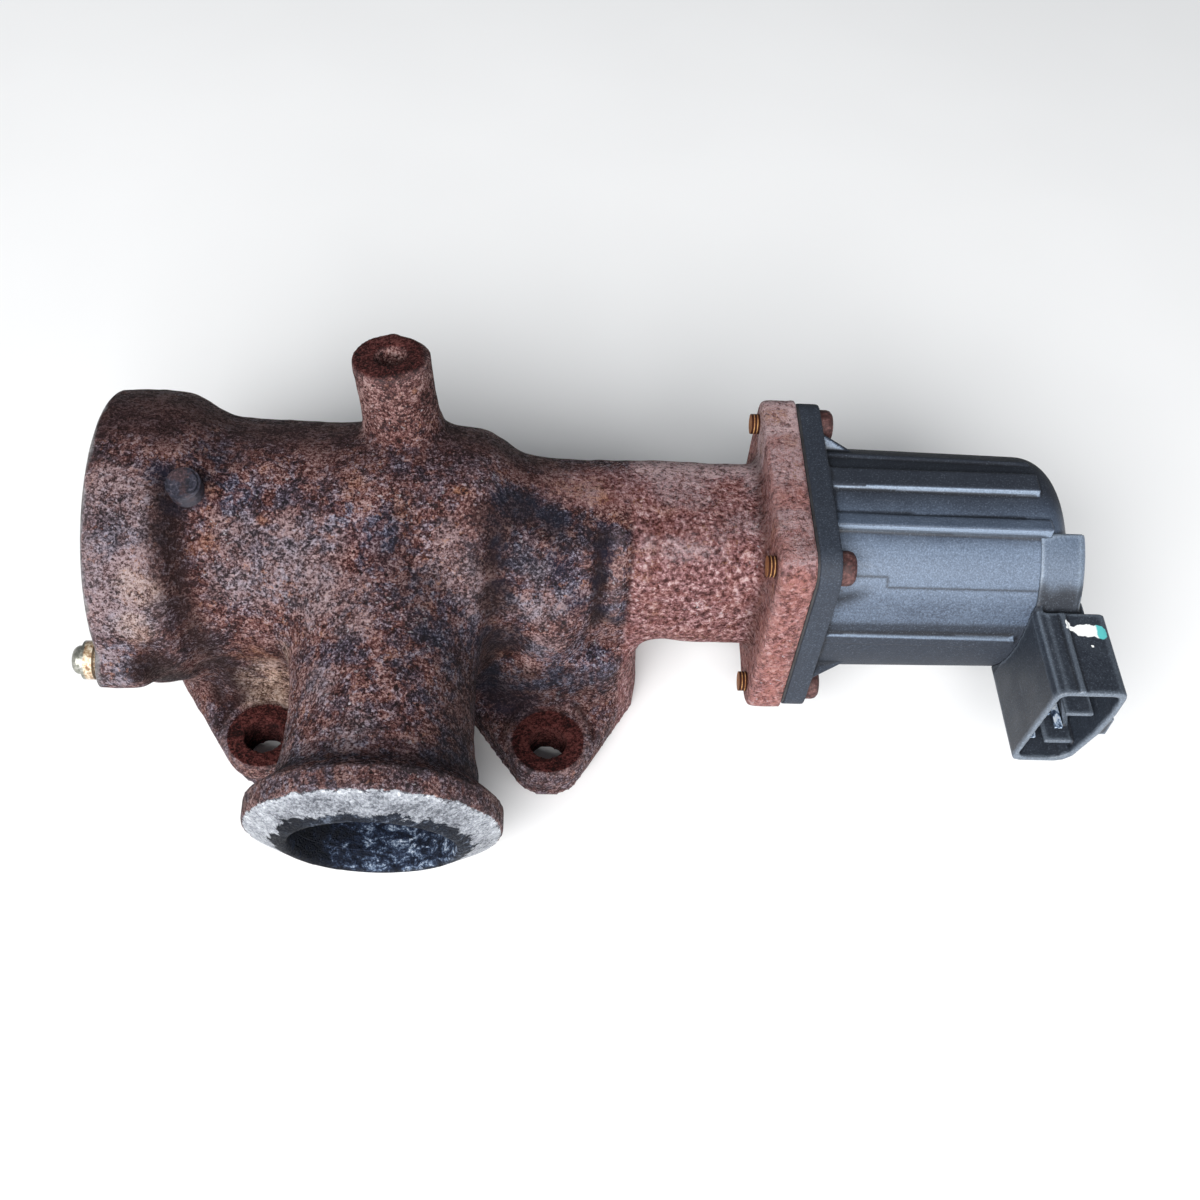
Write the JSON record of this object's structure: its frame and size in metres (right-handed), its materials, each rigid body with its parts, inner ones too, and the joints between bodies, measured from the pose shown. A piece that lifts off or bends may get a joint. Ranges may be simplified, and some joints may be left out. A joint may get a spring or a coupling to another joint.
{
  "type": "egr valve",
  "caption": "Motor-driven exhaust gas recirculation valve: cast poppet valve body with bell inlet, branch port and mounting lugs, plastic rotary actuator and plug socket.",
  "frame": {"origin": "centre of the four-hole mounting pattern, on the mounting face, straight under the valve axis", "axes": "+X along the valve axis from the bell inlet to the motor, +Z out of the engine through the mounting face, -Y the side the branch port and the plug socket open to"},
  "size_m": [0.2429, 0.1268, 0.0943],
  "materials": {
    "casting": "rough, heavily rusted sand casting",
    "seat_steel": "sooted machined stainless",
    "sooted_steel": "heat-darkened, sooted",
    "stem_steel": "ground",
    "guide_bronze": "sintered bronze",
    "seal_rubber": "fluorocarbon rubber",
    "spring_steel": "shot-peened wire",
    "gasket": "coated sheet",
    "housing_plastic": "glass-filled moulding, weathered",
    "shroud_plastic": "glass-filled moulding, weathered",
    "tinned_terminal": "tinned",
    "zinc_steel": "zinc plated pressing",
    "inner_plastic": "natural engineering plastic",
    "magnet": "bonded ferrite",
    "lamination": "stacked steel sheet",
    "copper": "enamelled copper winding",
    "board": "circuit board",
    "rusted_screw": "rusted",
    "dowel_steel": "pale yellow passivated",
    "casting_plug": "blued steel"
  },
  "bodies": {
    "housing": {"actuator_gasket": "gasket", "actuator_screws": "rusted_screw", "board_carrier": "inner_plastic", "connector_shroud": "shroud_plastic", "connector_terminals": "tinned_terminal", "core_plug": "casting_plug", "deposit_scraper": "seat_steel", "front_bearing_outer_ring": "stem_steel", "front_cover_plate": "zinc_steel", "guide_bush": "guide_bronze", "inlet_dowel": "dowel_steel", "motor_housing": "housing_plastic", "position_sensor_board": "board", "rear_bush": "guide_bronze", "return_spring": "spring_steel", "spring_seat": "stem_steel", "stator_coils": "copper", "stator_core": "lamination", "stem_seal": "seal_rubber", "valve_body": "casting", "valve_seat": "seat_steel"},
    "valve_train": {"valve_stem": "stem_steel", "poppet_head": "sooted_steel", "spring_retainer": "spring_steel", "retainer_collets": "stem_steel", "lead_screw": "stem_steel"},
    "rotor": {"rotor_nut": "inner_plastic", "rotor_magnet": "magnet", "front_bearing_inner_ring": "stem_steel", "front_bearing_balls": "stem_steel", "sensor_magnet": "magnet"}
  },
  "joints": [
    {"name": "rotor_spin", "type": "hinge", "parent": "housing", "child": "rotor", "pos_m": [0.12, 0, 0.044], "axis": [1, 0, 0], "range_deg": [0, 360]},
    {"name": "valve_lift", "type": "slide", "parent": "housing", "child": "valve_train", "axis": [-1, 0, 0], "range_m": [0, 0.008], "stiffness_N_per_m": 3000, "springref_m": -0.006, "deforming": ["return_spring"]}
  ],
  "couplings": [
    {"joint": "rotor_spin", "follows": "valve_lift", "rad_per_m": 785.39}
  ]
}
